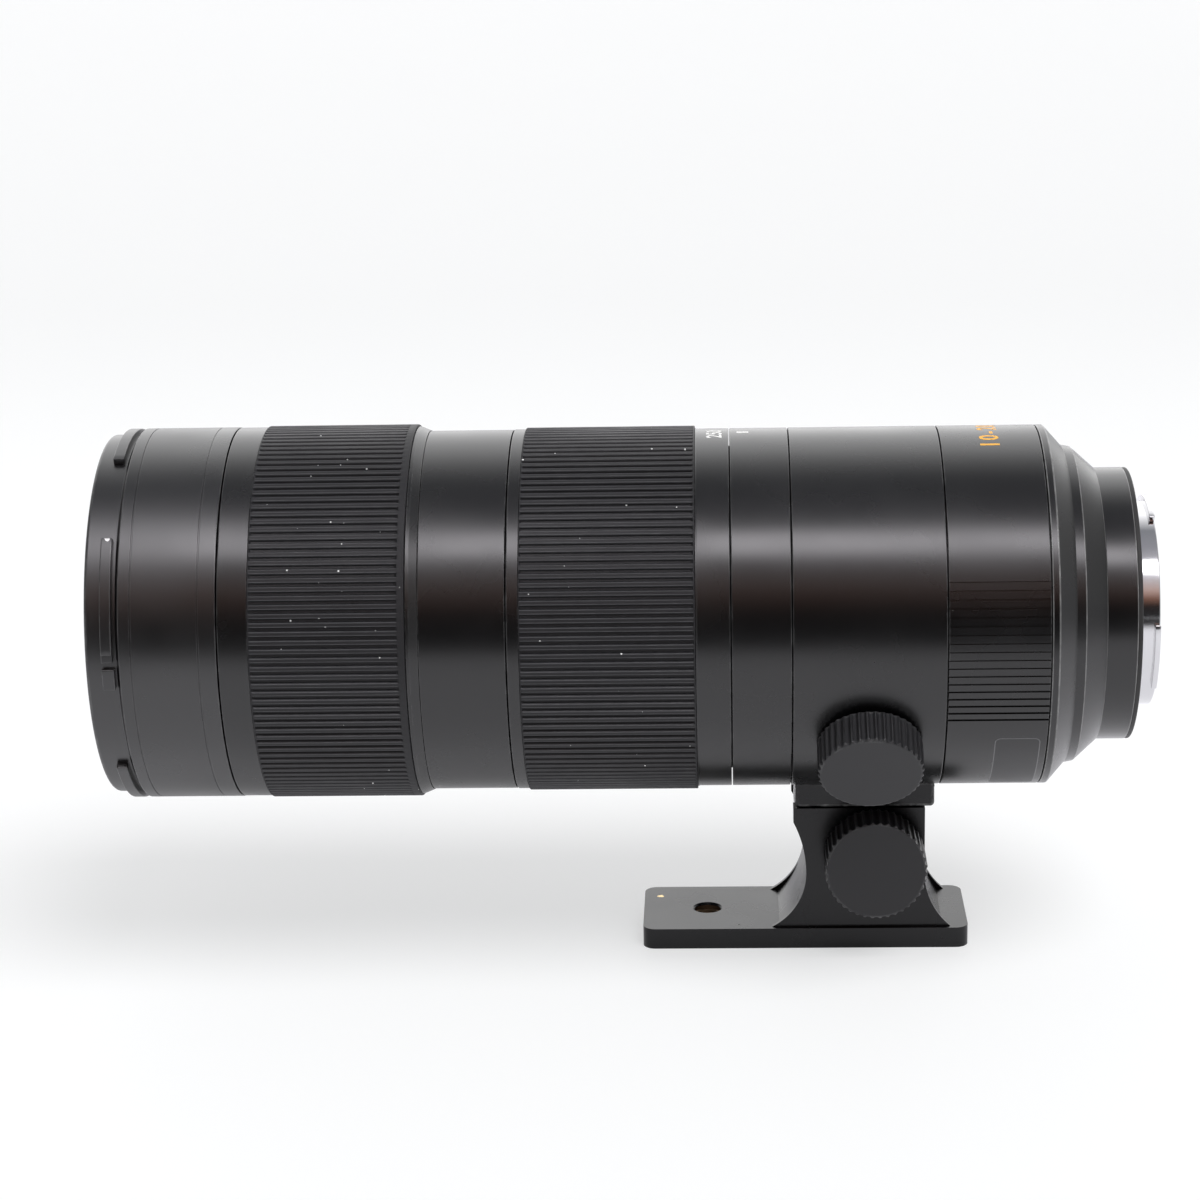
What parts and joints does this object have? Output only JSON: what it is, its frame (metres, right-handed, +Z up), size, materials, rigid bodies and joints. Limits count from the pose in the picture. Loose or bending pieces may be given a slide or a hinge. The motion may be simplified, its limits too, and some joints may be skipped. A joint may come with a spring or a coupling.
{
  "type": "camera zoom lens",
  "caption": "Black camera zoom lens with ribbed focus and zoom rings, a turning tripod collar with a sliding foot, clamp knobs and a chrome bayonet.",
  "frame": {"origin": "centre of the bayonet flange, on the optical axis", "axes": "+X along the optical axis out of the bayonet, towards the camera; -X to the front glass; +Z up, away from the foot; both knobs on -Y"},
  "size_m": [0.2429, 0.0933, 0.1251],
  "materials": {
    "black_metal": "satin black anodised",
    "foot_metal": "semi-gloss black",
    "knob_metal": "satin black anodised",
    "inner_metal": "matt black",
    "grip_rubber": "matt ribbed rubber",
    "seal_rubber": "matt",
    "chrome": "polished",
    "steel": "turned",
    "brass": "turned",
    "contact_gold": "polished",
    "lens_glass": "coated",
    "black_plastic": "fine grain",
    "blade_black": "matt",
    "board_green": "solder mask",
    "liner_white": "smooth",
    "pad_fibre": "fibre"
  },
  "bodies": {
    "barrel": {"front_barrel": "black_metal", "front_retaining_ring": "inner_metal", "front_cell": "inner_metal", "front_element_1": "lens_glass", "front_element_2": "lens_glass", "guide_tube": "inner_metal", "focus_sensor": "board_green", "middle_barrel": "black_metal", "index_ring": "black_metal", "iris_housing": "inner_metal", "iris_cover": "inner_metal", "focus_guide_rods": "steel", "focus_motor": "inner_metal", "rear_barrel": "black_metal", "rear_cone": "black_metal", "rear_cell": "inner_metal", "rear_element": "lens_glass", "rear_baffle": "black_plastic", "circuit_board": "board_green", "mount_seal": "seal_rubber", "bayonet_mount": "chrome", "mount_screws": "steel", "contact_block": "black_plastic", "contact_pins": "contact_gold"},
    "focus_ring": {"focus_ring": "black_metal", "focus_grip": "grip_rubber"},
    "zoom_ring": {"zoom_ring": "black_metal", "zoom_grip": "grip_rubber", "zoom_key": "brass", "cam_tube": "inner_metal"},
    "variator": {"variator_cell": "inner_metal", "variator_lens": "lens_glass", "variator_rollers": "brass"},
    "compensator": {"compensator_cell": "inner_metal", "compensator_lens": "lens_glass", "compensator_rollers": "brass"},
    "iris_drive": {"iris_drive_ring": "inner_metal"},
    "focus_group": {"focus_cell": "inner_metal", "focus_lens": "lens_glass"},
    "lead_screw": {"focus_lead_screw": "steel"},
    "collar": {"collar_ring": "black_metal", "collar_liners": "liner_white"},
    "collar_knob": {"collar_knob": "knob_metal", "collar_knob_screw": "steel"},
    "collar_brake": {"collar_brake_pad": "pad_fibre"},
    "foot": {"foot_neck": "foot_metal", "foot_plate": "foot_metal", "foot_plate_screws": "foot_metal"},
    "foot_knob": {"foot_knob": "knob_metal", "foot_knob_screw": "steel"},
    "blade_1": {"iris_blade_1": "blade_black"},
    "blade_2": {"iris_blade_2": "blade_black"},
    "blade_3": {"iris_blade_3": "blade_black"},
    "blade_4": {"iris_blade_4": "blade_black"},
    "blade_5": {"iris_blade_5": "blade_black"},
    "blade_6": {"iris_blade_6": "blade_black"},
    "blade_7": {"iris_blade_7": "blade_black"}
  },
  "joints": [
    {"name": "focus_ring_turn", "type": "hinge", "parent": "barrel", "child": "focus_ring", "pos_m": [-0.185, 0, 0], "axis": [1, 0, 0], "continuous": true},
    {"name": "zoom_ring_turn", "type": "hinge", "parent": "barrel", "child": "zoom_ring", "pos_m": [-0.118, 0, 0], "axis": [1, 0, 0], "range_deg": [0, 75]},
    {"name": "variator_slide", "type": "slide", "parent": "barrel", "child": "variator", "axis": [-1, 0, 0], "range_m": [0, 0.026]},
    {"name": "compensator_slide", "type": "slide", "parent": "barrel", "child": "compensator", "axis": [1, 0, 0], "range_m": [0, 0.014]},
    {"name": "iris_turn", "type": "hinge", "parent": "barrel", "child": "iris_drive", "pos_m": [-0.094, 0, 0], "axis": [1, 0, 0], "range_deg": [0, 30]},
    {"name": "focus_slide", "type": "slide", "parent": "barrel", "child": "focus_group", "axis": [1, 0, 0], "range_m": [-0.008, 0.008]},
    {"name": "lead_screw_turn", "type": "hinge", "parent": "barrel", "child": "lead_screw", "pos_m": [-0.0645, 0, 0.02698], "axis": [1, 0, 0], "range_deg": [-540, 540]},
    {"name": "collar_turn", "type": "hinge", "parent": "barrel", "child": "collar", "pos_m": [-0.0618, 0, 0], "axis": [1, 0, 0], "continuous": true},
    {"name": "collar_knob_turn", "type": "hinge", "parent": "collar", "child": "collar_knob", "pos_m": [-0.0617, -0.03986, -0.02491], "axis": [0, -0.848, -0.5299], "range_deg": [0, 135]},
    {"name": "collar_brake_slide", "type": "slide", "parent": "collar", "child": "collar_brake", "axis": [0, -0.848, -0.5299], "range_m": [0, 0.0003]},
    {"name": "foot_slide", "type": "slide", "parent": "collar", "child": "foot", "axis": [-1, 0, 0], "range_m": [0, 0.034]},
    {"name": "foot_knob_turn", "type": "hinge", "parent": "foot", "child": "foot_knob", "pos_m": [-0.0595, -0.0195, -0.0576], "axis": [0, -1, 0], "range_deg": [0, 540]},
    {"name": "blade_1_swing", "type": "hinge", "parent": "barrel", "child": "blade_1", "pos_m": [-0.097, 0, -0.03178], "axis": [1, 0, 0], "range_deg": [0, 25]},
    {"name": "blade_2_swing", "type": "hinge", "parent": "barrel", "child": "blade_2", "pos_m": [-0.097, 0.02485, -0.01981], "axis": [1, 0, 0], "range_deg": [0, 25]},
    {"name": "blade_3_swing", "type": "hinge", "parent": "barrel", "child": "blade_3", "pos_m": [-0.097, 0.03098, 0.00707], "axis": [1, 0, 0], "range_deg": [0, 25]},
    {"name": "blade_4_swing", "type": "hinge", "parent": "barrel", "child": "blade_4", "pos_m": [-0.097, 0.01379, 0.02863], "axis": [1, 0, 0], "range_deg": [0, 25]},
    {"name": "blade_5_swing", "type": "hinge", "parent": "barrel", "child": "blade_5", "pos_m": [-0.097, -0.01379, 0.02863], "axis": [1, 0, 0], "range_deg": [0, 25]},
    {"name": "blade_6_swing", "type": "hinge", "parent": "barrel", "child": "blade_6", "pos_m": [-0.097, -0.03098, 0.00707], "axis": [1, 0, 0], "range_deg": [0, 25]},
    {"name": "blade_7_swing", "type": "hinge", "parent": "barrel", "child": "blade_7", "pos_m": [-0.097, -0.02485, -0.01981], "axis": [1, 0, 0], "range_deg": [0, 25]}
  ],
  "couplings": [
    {"joint": "variator_slide", "follows": "zoom_ring_turn", "m_per_rad": 0.01986},
    {"joint": "compensator_slide", "follows": "zoom_ring_turn", "m_per_rad": 0.01069},
    {"joint": "lead_screw_turn", "follows": "focus_slide", "rad_per_m": 1047.2},
    {"joint": "collar_brake_slide", "follows": "collar_knob_turn", "m_per_rad": 0.000127},
    {"joint": "blade_1_swing", "follows": "iris_turn", "ratio": 0.8333},
    {"joint": "blade_2_swing", "follows": "iris_turn", "ratio": 0.8333},
    {"joint": "blade_3_swing", "follows": "iris_turn", "ratio": 0.8333},
    {"joint": "blade_4_swing", "follows": "iris_turn", "ratio": 0.8333},
    {"joint": "blade_5_swing", "follows": "iris_turn", "ratio": 0.8333},
    {"joint": "blade_6_swing", "follows": "iris_turn", "ratio": 0.8333},
    {"joint": "blade_7_swing", "follows": "iris_turn", "ratio": 0.8333}
  ]
}
